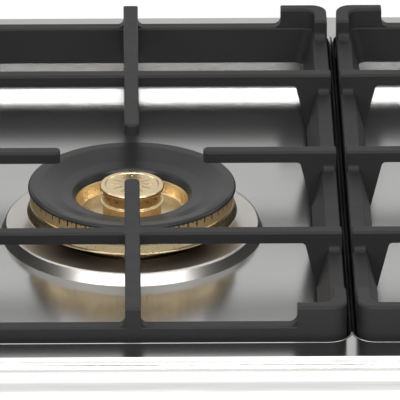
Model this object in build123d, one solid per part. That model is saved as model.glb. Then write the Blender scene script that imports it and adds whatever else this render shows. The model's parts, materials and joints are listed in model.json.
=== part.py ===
from build123d import *
import math
import os

# A built-in gas cooktop: three deep wells, three cast pan supports, five brass burners.
# Millimetres. X runs to the right, Y to the back, Z up, and Z = 0 is the surface it stands on.
# The model is drawn with Y = 0 in the middle of the wells, and save() moves every piece
# so that the middle of the whole depth lands on Y = 0.

# Worktop pressing
bay_pitch = 290.0          # from one well to the next
side_rim = 22.0            # flat rim outside the outer wells
front_rim = 27.0
rear_rim = 27.0
ridge = 5.0                # fold left standing between two wells
well_length = 518.0
well_depth = 39.5
worktop_sheet = 1.5
lip_depth = 5.0            # turned-down edge
lip_radius = 1.8
worktop_corner = 6.0
well_corner = 12.0
well_edge_radius = 2.4
well_floor_radius = 4.0
end_wall_lean = 4.0        # degrees that the front and rear walls of a well lean outwards
rim_height = 178.0         # flat rim above the ground

# Pan supports, heights measured from the rim
support_side_gap = 1.0     # between a support and its well
support_end_gap = 2.5
support_height = 22.3
rail_top = 8.1
rail_bottom = -19.5
rail_width = 10.2
side_rail_foot = 17.0      # width at the bottom, where the inner face leans in
end_rail_foot = 9.0
rail_corner = 11.0
rail_edge_radius = 1.3
bar_width = 10.4
bar_depth = 8.2
bar_edge_radius = 1.8
bar_joint_radius = 2.4
finger_end_radius = 3.6
finger_reach_side = 49.5   # burner centre to the tips of its fingers
finger_reach_rear = 42.5
finger_reach_front = 48.0
crossbar_offset = 133.0    # also the place of the side burners
post_root = 25.0           # post under a bar's end, from the outer face at the bar
post_flare = 4.5
post_fillet = 3.0          # under the bar, at the top of a post
corner_block_length = 33.0
corner_block_depth = 31.0
corner_block_width = 9.0
corner_block_flare = 5.5
support_leg_length = 26.0
support_leg_width = 10.0
support_leg_gap = 0.5      # from a leg to the rounded foot of the well's wall
pad_thickness = 3.5
pad_socket = 1.5
pad_radius = 5.0

# Centre burner, radii and heights; heights measured from the rim
ring_cap_radius = 72.1
ring_cap_hole = 41.0
ring_cap_top = -3.3
ring_cap_dish = 6.9        # how far the top falls from the rim to the hole
ring_cap_edge = 3.2        # height of the outer edge that shows
ring_cap_lip_radius = 38.7 # the hole narrows down its turned-in lip
ring_cap_lip_depth = 12.4  # from the top of the rim to the bottom of the lip
ring_cap_lip_sheet = 1.8
ring_cap_flare = 2.0       # how far the lip widens up to the underside
ring_spigot_radius = 62.0  # thick middle of the cap, inside the slotted ring
ring_spigot_depth = 6.0    # below the outer edge
brass_radius = 73.0
brass_slot_radius = 70.7
brass_bottom = -24.7
brass_step = -22.8         # widest part of the skirt starts here
brass_flare = -18.0        # the skirt starts to widen here
brass_groove = -14.7       # fine groove between the slotted band and the skirt
brass_groove_width = 0.9
brass_groove_depth = 0.7
hub_radius = 22.3
hub_neck_radius = 20.4
hub_flange_top = -14.9
hub_flange_depth = 1.6
hub_top = -7.0
bowl_floor = -25.0         # ring-shaped floor round the hub
bowl_radius = 36.8
inner_cap_top = -3.6
inner_cap_recess = 17.8
inner_spigot_radius = 14.9
center_slot_count = 60
center_slot_height = 4.4
center_slot_width = 1.4
center_notch_height = 1.2  # short slots between the long ones
hub_port_count = 17
hub_port_radius = 0.8
hub_port_depth = 4.0

# Side burners: name, left or right bay, front or back row, head radius
side_burner_radius_small = 34.0
side_burner_radius_large = 43.0
side_cap_overhang = 3.0
side_cap_depth = 6.5
side_head_height = 15.0    # head above its seat
side_slot_pitch = 5.6

# All burners
burner_seat = 2.0          # seat of a head above the well floor
slot_width = 1.1
slot_height = 4.6
slot_depth = 5.0
stem_radius = 11.0
stem_length = 18.0
throat_wall = 3.0          # round the bore of a stem
cap_spigot = 2.5           # spigot that centres a cap in its head
cap_fit = 0.5
center_hole = 44.0
side_hole = 28.0
dish_sheet = 1.0
dish_height = 8.3
dish_slope_width = 3.5     # sloped outer wall, seen from above
center_dish_margin = 18.3
center_dish_hole = 54.0
side_dish_margin = 18.0
side_dish_fall = 6.0
side_dish_hole_margin = 4.0

# Parts under the worktop
cup_wall = 2.5
cup_gap = 1.0
cup_depth = 55.0           # below the well floor
cup_flange = 8.0
cup_flange_depth = 3.0
cup_boss_radius = 7.0
cup_boss_length = 9.0
injector_radius = 4.0
injector_height = 14.0
injector_bore = 0.75
dual_jet_spacing = 30.0
tube_radius = 4.0
tube_wall = 1.0
tube_bend = 14.0
tube_setback = 60.0
electrode_radius = 3.0
electrode_gap = 4.5        # from the head to the nearest side of an electrode
electrode_hole_gap = 0.8
electrode_collar = 0.5     # a collar this much larger than the hole seats under the well
electrode_collar_depth = 2.0
electrode_drop = 12.0
electrode_spread = 24.0    # degrees each side of straight back
probe_radius = 2.2
probe_height = 14.0

# Casing
casing_inset = 3.0
casing_sheet = 1.2
feet_height = 8.0
foot_radius = 18.0
foot_inset = 60.0
nose_reach = 26.0          # the front panel stands this far in front of the worktop
nose_radius = 24.0
front_sheet = 1.5
front_seam = 0.3
front_return = 16.0
vent_length = 60.0
vent_width = 5.0
vent_pitch = 14.0
vent_rows = 5
casing_screw_radius = 2.0
casing_screw_head = 4.2
casing_screw_head_depth = 2.4
casing_screw_fit = 0.1
casing_screw_inset = 40.0

# Controls
knob_drop = 82.0           # knob axis below the rim
knob_spread = 48.0         # side knobs from the middle of their bay
knob_radius = 22.0
knob_length = 27.0
knob_edge = 2.4
knob_back_gap = 4.0
knob_travel = 3.0
knob_groove_count = 24
knob_groove_radius = 1.5
knob_line_width = 1.4
knob_line_depth = 0.7
bezel_radius = 29.0
bezel_gap = 1.0
bezel_depth = 5.0
spindle_radius = 4.0
spindle_flat = 2.6         # from the axis to the flat
spindle_fit = 0.05
spindle_in_knob = 18.0
spindle_in_plug = 16.0
plug_radius = 8.0
plug_length = 30.0
plug_fit = 0.05
panel_hole_gap = 2.0
valve_width = 26.0
valve_height = 30.0
valve_length = 40.0
valve_setback = 12.0       # panel to valve
manifold_side = 20.0
manifold_wall = 2.0
manifold_overhang = 60.0
supply_radius = 8.0
supply_wall = 1.5
inlet_radius = 10.48       # outside of a half-inch pipe thread
inlet_bore = 7.5
inlet_shoulder = 1.0       # wider where it passes the sheet
inlet_reach = 15.0
inlet_nut_radius = 15.0
inlet_nut_depth = 8.0
bracket_width = 24.0
bracket_sheet = 2.0
bracket_base = 22.0
module_size = (78.0, 48.0, 30.0)
module_inset = 124.0       # from the left and rear of the casing to its middle
module_setback = 90.5
terminal_size = (60.0, 42.0, 38.0)
gland_radius = 10.0
gland_flange = 14.0
gland_flange_depth = 3.0
gland_bore = 4.5
gland_inset = 120.0

# Worked out from the sizes above
bay_centers = [-bay_pitch, 0.0, bay_pitch]
top_width = 3 * bay_pitch + 2 * side_rim
front_edge = -(well_length / 2 + front_rim)
rear_edge = well_length / 2 + rear_rim
well_width = bay_pitch - ridge
floor_height = rim_height - well_depth
underside = floor_height - worktop_sheet
seat_height = floor_height + burner_seat
center_dish_radius = brass_radius + center_dish_margin
support_half_width = well_width / 2 - support_side_gap
support_half_length = well_length / 2 - support_end_gap
panel_face = front_edge - nose_reach
casing_front = panel_face + front_return
knob_height = rim_height - knob_drop
casing_half = top_width / 2 - casing_inset
casing_rear = rear_edge - casing_inset
casing_top = rim_height - worktop_sheet
tray_top = feet_height + casing_sheet
valve_face = panel_face + front_sheet + valve_setback
valve_back = valve_face + valve_length
valve_bottom = knob_height - valve_height / 2
knob_front = panel_face - knob_back_gap - knob_length
inlet_end = casing_rear + inlet_reach
depth_shift = -(knob_front + inlet_end) / 2
supply_x = casing_half - manifold_overhang

side_burners = {
    "left_front": (-bay_pitch, -crossbar_offset, side_burner_radius_small),
    "left_rear": (-bay_pitch, crossbar_offset, side_burner_radius_large),
    "right_front": (bay_pitch, -crossbar_offset, side_burner_radius_large),
    "right_rear": (bay_pitch, crossbar_offset, side_burner_radius_small),
}
knob_places = {
    "left_rear": -bay_pitch - knob_spread,
    "left_front": -bay_pitch + knob_spread,
    "center": 0.0,
    "right_front": bay_pitch - knob_spread,
    "right_rear": bay_pitch + knob_spread,
}

os.makedirs("parts", exist_ok=True)


def save(name, *shapes):
    shift = Pos(0, depth_shift, 0)
    moved = [shift * shape for shape in shapes]
    whole = moved[0] if len(moved) == 1 else Compound(children=moved)
    export_step(whole, f"parts/{name}.step")


def between(low, high):
    size = [b - a for a, b in zip(low, high)]
    middle = [(a + b) / 2 for a, b in zip(low, high)]
    return Pos(*middle) * Box(*size)


def rod(x, y, low, high, radius):
    return Pos(x, y, (low + high) / 2) * Cylinder(radius, high - low)


def rod_back(x, z, front, back, radius):
    return Pos(x, (front + back) / 2, z) * Rot(90, 0, 0) * Cylinder(radius, back - front)


def tube_back(x, z, front, back, radius, bore):
    return rod_back(x, z, front, back, radius) - rod_back(x, z, front, back, bore)


def turned(points, radii):
    # points are (radius, height) round a closed outline, with one corner radius each
    outline = FilletPolyline(*points, radius=radii, close=True)
    return revolve(make_face(Plane.XZ * outline), Axis.Z)


def round_top(solid, radius):
    return fillet(solid.faces().sort_by(Axis.Z)[-1].edges(), radius)


# Worktop: one pressed sheet with three wells, burner holes and a turned-down lip

def well_reach(height):
    # from the middle of a well to its front or rear wall, at this height
    return well_length / 2 - (rim_height - height) * math.tan(math.radians(end_wall_lean))


def well(x, grow, top):
    low = floor_height - grow
    shift = grow / math.cos(math.radians(end_wall_lean))
    ends = [(well_reach(height) + shift, height) for height in (low, top)]
    outline = Polyline(*ends, *[(-y, z) for y, z in reversed(ends)], close=True)
    shape = extrude(Plane.YZ * make_face(outline), well_width / 2 + grow, both=True)
    uprights = [edge for edge in shape.edges() if edge.bounding_box().size.Z > well_depth / 2]
    shape = fillet(uprights, well_corner + grow)
    shape = fillet(shape.faces().sort_by(Axis.Z)[0].edges(), well_floor_radius + grow)
    return Pos(x, 0, 0) * shape


def electrode_places(x, y, radius):
    reach = radius + electrode_gap + electrode_radius
    places = []
    for turn in (-electrode_spread, electrode_spread):
        angle = math.radians(90 + turn)
        places.append((x + reach * math.cos(angle), y + reach * math.sin(angle)))
    return places


def all_burners():
    return [(0.0, 0.0, brass_radius)] + list(side_burners.values())


def make_worktop():
    middle = (front_edge + rear_edge) / 2
    depth = rear_edge - front_edge
    sheet = Pos(0, middle, rim_height - lip_depth / 2) * Box(top_width, depth, lip_depth)
    sheet = fillet(sheet.edges().filter_by(Axis.Z), worktop_corner)
    sheet = round_top(sheet, lip_radius)
    hollow = Pos(0, middle, rim_height - worktop_sheet - lip_depth / 2) * Box(
        top_width - 2 * worktop_sheet, depth - 2 * worktop_sheet, lip_depth)
    hollow = fillet(hollow.edges().filter_by(Axis.Z), worktop_corner - worktop_sheet)
    hollow = round_top(hollow, lip_radius - worktop_sheet)
    sheet -= hollow
    for x in bay_centers:
        sheet += well(x, worktop_sheet, rim_height - worktop_sheet / 2)
    for x in bay_centers:
        sheet -= well(x, 0.0, rim_height + lip_depth)
    flat = sheet.faces().sort_by(Axis.Z)[-1]
    sheet = fillet([edge for wire in flat.inner_wires() for edge in wire.edges()],
                   well_edge_radius)
    holes = [rod(0, 0, underside - 1, floor_height + 1, center_hole)]
    holes += [rod(x, y, underside - 1, floor_height + 1, side_hole)
              for x, y, _ in side_burners.values()]
    for x, y, radius in all_burners():
        holes += [rod(ex, ey, underside - 1, floor_height + 1,
                      electrode_radius + electrode_hole_gap)
                  for ex, ey in electrode_places(x, y, radius)]
    return sheet - holes


# Pan supports: cast iron, one over each well

def support_rails():
    low, high = rim_height + rail_bottom, rim_height + rail_top
    ring = Pos(0, 0, (low + high) / 2) * Box(
        2 * support_half_width, 2 * support_half_length, high - low)
    ring = fillet(ring.edges().filter_by(Axis.Z), rail_corner)

    def opening(height, side, end, corner):
        return Pos(0, 0, height) * RectangleRounded(
            2 * (support_half_width - side), 2 * (support_half_length - end), corner)

    ring -= loft([opening(low, side_rail_foot, end_rail_foot, rail_corner / 2),
                  opening(high, rail_width, rail_width, rail_corner / 2)])
    return round_top(ring, rail_edge_radius)


def support_bars(burner_rows):
    # long bar along the middle and three crossbars, broken round each burner
    def strip(x0, x1, y0, y1):
        width, length = x1 - x0, y1 - y0
        return Pos((x0 + x1) / 2, (y0 + y1) / 2) * Rectangle(width, length)

    half = bar_width / 2
    breaks = [(y - finger_reach_front, y + finger_reach_rear) for y in burner_rows]
    edges = [-support_half_length] + [y for pair in breaks for y in pair]
    edges.append(support_half_length)
    plan = []
    tips = []
    for y0, y1 in zip(edges[::2], edges[1::2]):
        plan.append(strip(-half, half, y0, y1))
        tips += [(x, y) for x in (-half, half) for y in (y0, y1)
                 if abs(y) < support_half_length]
    crossings = []
    for y in (-crossbar_offset, 0.0, crossbar_offset):
        if y in burner_rows:
            for side in (-1, 1):
                x0, x1 = sorted((side * finger_reach_side, side * support_half_width))
                plan.append(strip(x0, x1, y - half, y + half))
                tips += [(side * finger_reach_side, y + dy) for dy in (-half, half)]
        else:
            plan.append(strip(-support_half_width, support_half_width, y - half, y + half))
            crossings += [(x, y + dy) for x in (-half, half) for dy in (-half, half)]
    shape = Sketch() + plan
    shape = fillet(corners_at(shape, tips), finger_end_radius)
    shape = fillet(corners_at(shape, crossings), bar_joint_radius)
    bars = extrude(Pos(0, 0, rim_height + support_height - bar_depth) * shape, bar_depth)
    top = [edge for face in bars.faces().filter_by(Axis.Z).group_by(Axis.Z)[-1]
           for edge in face.edges()]
    return fillet(top, bar_edge_radius)


def corners_at(shape, places):
    def near(vertex):
        return any(math.hypot(vertex.X - x, vertex.Y - y) < 0.01 for x, y in places)
    return [vertex for vertex in shape.vertices() if near(vertex)]


def flare_strip(radius, length):
    # concave fillet in the angle between a wall on +X 0 and a floor on +Z 0, running along +Y
    outline = Rectangle(radius, radius, align=Align.MIN) - Pos(radius, radius) * Circle(radius)
    return extrude(Plane(origin=(0, 0, 0), x_dir=(1, 0, 0), z_dir=(0, -1, 0)) * outline, -length)


def support_post(outer, foot):
    # web under the end of a bar that ends at +X outer, with its flares onto the rail
    low, bar_low = rim_height + rail_bottom, rim_height + support_height - bar_depth
    outline = make_face(Polyline(
        (outer, low), (outer, bar_low + post_fillet),
        (outer - post_root - 2 * post_fillet, bar_low + post_fillet),
        (outer - post_root - 2 * post_fillet, bar_low), (outer - post_root, bar_low),
        (outer - foot, low), close=True))
    outline = fillet(corners_at(outline, [(outer - post_root, bar_low)]), post_fillet)
    post = extrude(Plane.XZ * outline, bar_width / 2, both=True)
    strip = Rot(0, 0, 90) * flare_strip(post_flare, rail_width - 2 * rail_edge_radius)
    strip = Pos(outer - rail_edge_radius, bar_width / 2, rim_height + rail_top) * strip
    return post + [strip, mirror(strip, Plane.XZ)]


def corner_block():
    # L-shaped upstand at the +X +Y corner
    low, high = rim_height + rail_bottom, rim_height + support_height
    outer = Pos(0, 0) * RectangleRounded(
        2 * support_half_width, 2 * support_half_length, rail_corner)
    inner = RectangleRounded(
        2 * (support_half_width - corner_block_width),
        2 * (support_half_length - corner_block_width), rail_corner - bar_joint_radius)
    keep = Pos(support_half_width, support_half_length) * Rectangle(
        corner_block_length, corner_block_depth, align=Align.MAX)
    block = extrude(Pos(0, 0, low) * ((outer - inner) & keep), high - low)
    block = round_top(block, bar_edge_radius)
    strip = flare_strip(corner_block_flare, corner_block_width - rail_edge_radius)
    at_x = Pos(support_half_width - corner_block_length,
               support_half_length - corner_block_width, rim_height + rail_top)
    at_y = Pos(support_half_width - rail_edge_radius,
               support_half_length - corner_block_depth, rim_height + rail_top)
    return block + [at_x * mirror(strip, Plane.YZ), at_y * Rot(0, 0, 90) * mirror(strip, Plane.YZ)]


def leg_corner():
    return (well_width / 2 - well_floor_radius - support_leg_gap,
            well_reach(floor_height) - well_corner - support_leg_gap)


def support_leg():
    low = floor_height + pad_thickness
    high = rim_height + rail_bottom
    x1, y1 = leg_corner()
    leg = between((x1 - support_leg_width, y1 - support_leg_length, low), (x1, y1, high))
    return leg - Pos(x1 - support_leg_width / 2, y1 - support_leg_length / 2, 0) * pad_stud()


def pad_stud():
    low = floor_height + pad_thickness
    return rod(0, 0, low - 1, low + pad_socket, pad_radius)


def quarters(shape):
    # the shape and its mirror images in the other three corners
    pair = [shape, mirror(shape, Plane.YZ)]
    return pair + [mirror(each, Plane.XZ) for each in pair]


def make_support(burner_rows):
    side_posts = []
    post = support_post(support_half_width, side_rail_foot)
    for y in (-crossbar_offset, 0.0, crossbar_offset):
        side_posts += [Pos(0, y, 0) * post, Pos(0, y, 0) * mirror(post, Plane.YZ)]
    end_post = Rot(0, 0, 90) * support_post(support_half_length, end_rail_foot)
    end_posts = [end_post, mirror(end_post, Plane.XZ)]
    pieces = side_posts + end_posts + quarters(corner_block()) + quarters(support_leg())
    return support_rails() + support_bars(burner_rows) + pieces


def make_pads():
    x1, y1 = leg_corner()
    x, y = x1 - support_leg_width / 2, y1 - support_leg_length / 2
    low = floor_height
    foot = between(
        (x - support_leg_width / 2, y - support_leg_length / 2, low),
        (x + support_leg_width / 2, y + support_leg_length / 2, low + pad_thickness))
    foot = fillet(foot.edges().filter_by(Axis.Z), pad_socket)
    return quarters(foot + rod(x, y, low, low + pad_thickness + pad_socket, pad_radius))


# Centre burner

def slots(radius, top, count, width=slot_width, height=slot_height, offset=0.0):
    cutter = Pos(radius, 0, top - height / 2) * Box(2 * slot_depth, width, height)
    return [Rot(0, 0, 360 * (step + offset) / count) * cutter for step in range(count)]


def ring_cap_heights():
    # top of the edge, seat on the slotted ring, underside of the spigot, bottom of the lip
    top = rim_height + ring_cap_top
    seat = top - ring_cap_edge
    return top, seat, seat - ring_spigot_depth, top - ring_cap_lip_depth


def make_center_head():
    _, seat, spigot_low, lip_low = ring_cap_heights()
    flare, step, bottom, groove = [
        rim_height + level for level in (brass_flare, brass_step, brass_bottom, brass_groove)]
    flange_top = rim_height + hub_flange_top
    flange_low = flange_top - hub_flange_depth
    bowl = rim_height + bowl_floor
    ledge = lip_low - cap_fit
    pocket = spigot_low - cap_fit
    pocket_radius = ring_spigot_radius + cap_fit
    skirt = center_hole + cup_flange / 2
    wall = ring_cap_wall()
    groove_half = brass_groove_width / 2
    groove_floor = brass_slot_radius - brass_groove_depth
    body = turned(
        [(0, bowl), (bowl_radius, bowl), (ring_cap_lip_radius + cap_fit, ledge), (wall, ledge),
         (wall, pocket), (pocket_radius, pocket), (pocket_radius, seat), (brass_slot_radius, seat),
         (brass_slot_radius, groove + groove_half), (groove_floor, groove + groove_half),
         (groove_floor, groove - groove_half), (brass_slot_radius, groove - groove_half),
         (brass_slot_radius, flare), (brass_radius, step), (brass_radius, bottom),
         (skirt + 2, seat_height + 4), (skirt, seat_height), (0, seat_height)],
        [0, 1.2, 0.6, 0, 0.5, 0, 0, 0.4, 0.2, 0, 0, 0.2, 5.0, 1.5, 1.2, 2, 0, 0])
    body += turned(
        [(0, bowl - 1), (hub_neck_radius, bowl - 1), (hub_neck_radius, flange_low - 1),
         (hub_radius, flange_low), (hub_radius, flange_top), (hub_neck_radius, flange_top),
         (hub_neck_radius, rim_height + hub_top), (0, rim_height + hub_top)],
        [0, 0, 0.8, 0.6, 0.7, 0.6, 0, 0])
    cuts = slots(brass_slot_radius, seat, center_slot_count, center_slot_width,
                 center_slot_height, 0.5)
    cuts += slots(brass_slot_radius, seat, center_slot_count, slot_width, center_notch_height)
    port_height = (flange_top + rim_height + hub_top) / 2 + 1
    port = Pos(0, hub_neck_radius, port_height) * Rot(90, 0, 0) * Cylinder(
        hub_port_radius, 2 * hub_port_depth)
    cuts += [Rot(0, 0, 360 * n / hub_port_count) * port for n in range(hub_port_count)]
    spigot_top = rim_height + hub_top
    cuts.append(rod(0, 0, spigot_top - cap_spigot - 0.5, spigot_top, inner_spigot_radius + cap_fit))
    for side in (-1, 1):
        jet = dual_jet_spacing / 2 * side
        body += rod(jet, 0, seat_height - stem_length, seat_height, stem_radius)
        cuts.append(rod(jet, 0, seat_height - stem_length, bowl - throat_wall,
                        stem_radius - throat_wall))
    return body - cuts


def ring_cap_wall():
    # inside of the wall that holds the cap's lip
    return ring_cap_lip_radius + ring_cap_lip_sheet + 2 * cap_fit + ring_cap_flare


def make_ring_cap():
    top, seat, spigot_low, lip_low = ring_cap_heights()
    inner_top = top - ring_cap_dish
    lip_out = ring_cap_lip_radius + ring_cap_lip_sheet
    return turned(
        [(ring_cap_lip_radius, lip_low), (lip_out, lip_low),
         (ring_cap_wall() - cap_fit, spigot_low), (ring_spigot_radius, spigot_low),
         (ring_spigot_radius, seat), (ring_cap_radius - 0.6, seat), (ring_cap_radius, seat + 0.6),
         (ring_cap_radius, top), (ring_cap_radius - 8, top - 0.6),
         (ring_cap_hole + 9, inner_top + 1.6), (ring_cap_hole, inner_top)],
        [0.6, 0.6, 0, 0.8, 0, 0.3, 0.3, 2.2, 8, 12, ring_cap_lip_sheet])


def make_inner_cap():
    low, top = rim_height + hub_top, rim_height + inner_cap_top
    recess = inner_cap_recess
    cap = turned(
        [(0, low - cap_spigot), (inner_spigot_radius, low - cap_spigot),
         (inner_spigot_radius, low), (hub_radius, low), (hub_radius, top),
         (recess + 0.9, top), (recess + 0.5, top - 0.7), (recess, top - 0.4), (0, top - 0.1)],
        [0, 0, 0, 1.2, 1.6, 0.3, 0, 0, 0])
    ray = Pos(recess * 0.62, 0, top) * Box(recess * 0.42, 1.0, 1.4)
    cuts = [Rot(0, 0, 30 * n) * ray for n in range(12)]
    disc = rod(0, 0, top - 1, top + 1, recess * 0.24) - rod(0, 0, top - 1, top + 1, recess * 0.18)
    return cap - cuts - disc


# Side burners

def side_heights():
    return seat_height + side_head_height, seat_height + side_head_height + side_cap_depth


def make_side_head(x, y, radius):
    seat, _ = side_heights()
    skirt = side_hole + cup_flange / 2 - 1
    middle = seat_height + side_head_height * 0.45
    head = turned(
        [(0, seat_height), (skirt, seat_height), (skirt + 1, middle - 3), (radius + 1.4, middle - 1),
         (radius + 1.4, middle + 1.5), (radius, middle + 2.5), (radius, seat), (0, seat)],
        [0, 0, 2, 0.8, 0.8, 0.4, 0, 0])
    count = 2 * int(math.pi * radius / side_slot_pitch)
    cuts = slots(radius, seat, count)
    cuts.append(rod(0, 0, seat - cap_spigot - 0.5, seat, radius - 9))
    head += rod(0, 0, seat_height - stem_length, seat_height, stem_radius)
    throat = rod(0, 0, seat_height - stem_length, seat, stem_radius - throat_wall)
    return Pos(x, y, 0) * (head - cuts - throat)


def make_side_cap(x, y, radius):
    seat, top = side_heights()
    rim = radius + side_cap_overhang
    cap = turned(
        [(0, seat - cap_spigot), (radius - 9 - cap_fit, seat - cap_spigot),
         (radius - 9 - cap_fit, seat), (rim - 1, seat), (rim, seat + 1.5), (rim, top - 0.8),
         (rim - 9, top), (0, top)],
        [0, 0, 0, 0.5, 1.5, 2.6, 10, 0])
    return Pos(x, y, 0) * cap


# Dishes, cups and jets

def make_dish(x, y, radius, hole, burner_radius, fall):
    low = floor_height
    top = low + dish_height
    crest = radius - dish_slope_width
    t = dish_sheet
    inner = top - fall
    dish = turned(
        [(radius, low), (crest, top), (hole, inner), (hole, inner - t),
         (crest - t, top - 1.6 * t), (radius - 1.3 * t, low)],
        [0, 1.6, 0, 0, 0.8, 0])
    holes = [rod(ex, ey, low - 1, top + 1, electrode_radius + electrode_hole_gap)
             for ex, ey in electrode_places(0, 0, burner_radius)]
    return Pos(x, y, 0) * (dish - holes)


def make_cup(x, y, hole, jets):
    outer = hole - cup_gap
    low = underside - cup_depth
    cup = rod(0, 0, low, seat_height, outer) - rod(0, 0, low + cup_wall, seat_height, outer - cup_wall)
    cup += rod(0, 0, underside - cup_flange_depth, underside, hole + cup_flange) - rod(
        0, 0, underside - cup_flange_depth, underside, outer - cup_wall)
    boss_height = knob_height
    for side in jets:
        inner, tip = outer - cup_wall / 2, outer + cup_boss_length
        boss = Pos(side * (inner + tip) / 2, 0, boss_height) * Rot(0, 90, 0) * Cylinder(
            cup_boss_radius, tip - inner)
        cup += boss
        bore = Pos(side * outer, 0, boss_height) * Rot(0, 90, 0) * Cylinder(
            tube_radius - tube_wall, 3 * cup_boss_length)
        cup -= bore
    return Pos(x, y, 0) * cup


def make_injector(x, y):
    low = underside - cup_depth + cup_wall
    jet = Pos(x, y, low + injector_height / 2) * extrude(
        RegularPolygon(injector_radius, 6), injector_height / 2, both=True)
    return jet - rod(x, y, low, low + injector_height, injector_bore)


def make_tube(points):
    # a bend is no larger than the shortest run leaves room for
    shortest = min(math.dist(a, b) for a, b in zip(points, points[1:]))
    path = FilletPolyline(*points, radius=min(tube_bend, 0.9 * shortest))
    ring = Circle(tube_radius) - Circle(tube_radius - tube_wall)
    start = Plane(origin=path @ 0, z_dir=path % 0)
    return sweep(start * ring, path=path)


def make_tubes():
    tubes = []
    z = knob_height
    for name, (x, y, _) in side_burners.items():
        knob_x = knob_places[name]
        side = 1 if knob_x > x else -1
        end = x + side * (side_hole - cup_gap + cup_boss_length)
        tubes.append(make_tube([(knob_x, valve_back, z), (knob_x, y, z), (end, y, z)]))
    for side in (-1, 1):
        end = side * (center_hole - cup_gap + cup_boss_length)
        away = end + side * (tube_bend + tube_radius)
        turn = valve_back + tube_setback
        start = side * (tube_radius + 1)
        tubes.append(make_tube([(start, valve_back, z), (start, turn, z), (away, turn, z),
                                (away, 0, z), (end, 0, z)]))
    return tubes


def collar(x, y):
    return rod(x, y, underside - electrode_collar_depth, underside,
               electrode_radius + electrode_hole_gap + electrode_collar)


def make_electrode(x, y, top):
    low = underside - electrode_drop
    insulator = rod(x, y, low, top - 4, electrode_radius)
    return round_top(insulator, 0.8) + rod(x, y, top - 4.5, top, 0.8) + collar(x, y)


def make_probe(x, y, top):
    body = rod(x, y, underside - electrode_drop, top - 3, probe_radius)
    return body + rod(x, y, top - 3, top, probe_radius - 0.7) + collar(x, y)


# Casing

def make_front_panel():
    top = rim_height - lip_depth - front_seam
    back = front_edge + front_return
    low, end = feet_height, panel_face + front_return
    t = front_sheet
    section = make_face(FilletPolyline(
        (back, top), (panel_face, top), (panel_face, low), (end, low),
        (end, low + t), (panel_face + t, low + t), (panel_face + t, top - t), (back, top - t),
        radius=[0, nose_radius, 2 * t, 0, 0, t, nose_radius - t, 0], close=True))
    panel = extrude(Plane.YZ * section, casing_half, both=True)
    holes = [rod_back(x, knob_height, panel_face - 1, panel_face + t + 1,
                      spindle_radius + panel_hole_gap) for x in knob_places.values()]
    return panel - holes


def screw_rows(low, high, count):
    step = (high - low) / (count - 1)
    return [low + n * step for n in range(count)]


def side_screw_places():
    ys = screw_rows(casing_front + casing_screw_inset, casing_rear - casing_screw_inset, 3)
    return [(y, feet_height + casing_screw_inset / 2) for y in ys]


def rear_screw_places():
    xs = screw_rows(-casing_half + casing_screw_inset, casing_half - casing_screw_inset, 4)
    return [(x, feet_height + casing_screw_inset / 2) for x in xs]


def make_side_panel(side):
    # the plate runs forward into the nose of the front panel and ends against its inside
    t = front_sheet
    nose_top = rim_height - lip_depth - front_seam - t
    step = front_edge + front_return
    front, back = panel_face + t, casing_rear - casing_sheet
    low = feet_height + max(t, casing_sheet)
    outline = make_face(FilletPolyline(
        (back, low), (back, casing_top), (step, casing_top), (step, nose_top),
        (front, nose_top), (front, low), radius=[0, 0, 0, 0, nose_radius - t, 2 * t], close=True))
    inner = side * (casing_half - casing_sheet)
    plate = Pos(inner, 0, 0) * extrude(Plane.YZ * outline, side * casing_sheet)
    holes = [Pos(side * casing_half, y, z) * Rot(0, 90, 0) * Cylinder(
        casing_screw_radius + casing_screw_fit, 4 * casing_sheet) for y, z in side_screw_places()]
    return plate - holes


def vent_slots(x, y, z, turn):
    slot = extrude(SlotOverall(vent_length, vent_width), 2 * casing_sheet, both=True)
    return [Pos(x, y, z) * turn * Pos(0, (row - (vent_rows - 1) / 2) * vent_pitch, 0) * slot
            for row in range(vent_rows)]


def make_rear_panel():
    plate = between((-casing_half, casing_rear - casing_sheet, tray_top),
                    (casing_half, casing_rear, casing_top))
    middle = (tray_top + underside) / 2
    cuts = []
    for x in (-bay_pitch / 2, bay_pitch / 2):
        cuts += vent_slots(x, casing_rear, middle, Rot(90, 0, 0))
    cuts.append(rod_back(supply_x, manifold_height(), casing_rear - 5, casing_rear + 5,
                         inlet_radius + inlet_shoulder))
    cuts.append(rod_back(gland_x(), manifold_height(), casing_rear - 5, casing_rear + 5,
                         gland_radius))
    cuts += [rod_back(x, z, casing_rear - 5, casing_rear + 5,
                      casing_screw_radius + casing_screw_fit) for x, z in rear_screw_places()]
    return plate - cuts


def manifold_height():
    return valve_bottom - manifold_side / 2


def gland_x():
    return -casing_half + gland_inset


def make_tray():
    plate = between((-casing_half, casing_front, feet_height), (casing_half, casing_rear, tray_top))
    middle = (casing_front + casing_rear) / 2
    cuts = []
    for x in bay_centers:
        cuts += vent_slots(x, middle, tray_top, Rot(0, 0, 90))
    return plate - cuts


def make_feet():
    xs = (-casing_half + foot_inset, casing_half - foot_inset)
    ys = (casing_front + foot_inset, casing_rear - foot_inset)
    foot = turned([(0, 0), (foot_radius - 3, 0), (foot_radius, feet_height), (0, feet_height)],
                  [0, 1, 1, 0])
    return [Pos(x, y, 0) * foot for x in xs for y in ys]


def make_screws():
    # pan heads outside the sheet, shanks through it
    def screw():
        shank = rod(0, 0, -3 * casing_sheet, 0, casing_screw_radius)
        head = rod(0, 0, 0, casing_screw_head_depth, casing_screw_head)
        cross = Box(1, 4, 2) + Box(4, 1, 2)
        return shank + round_top(head, 0.9) - Pos(0, 0, casing_screw_head_depth) * cross

    one = screw()
    screws = [Pos(side * casing_half, y, z) * Rot(0, 90 * side, 0) * one
              for side in (-1, 1) for y, z in side_screw_places()]
    screws += [Pos(x, casing_rear, z) * Rot(-90, 0, 0) * one for x, z in rear_screw_places()]
    return screws


# Gas train and electrics

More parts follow.
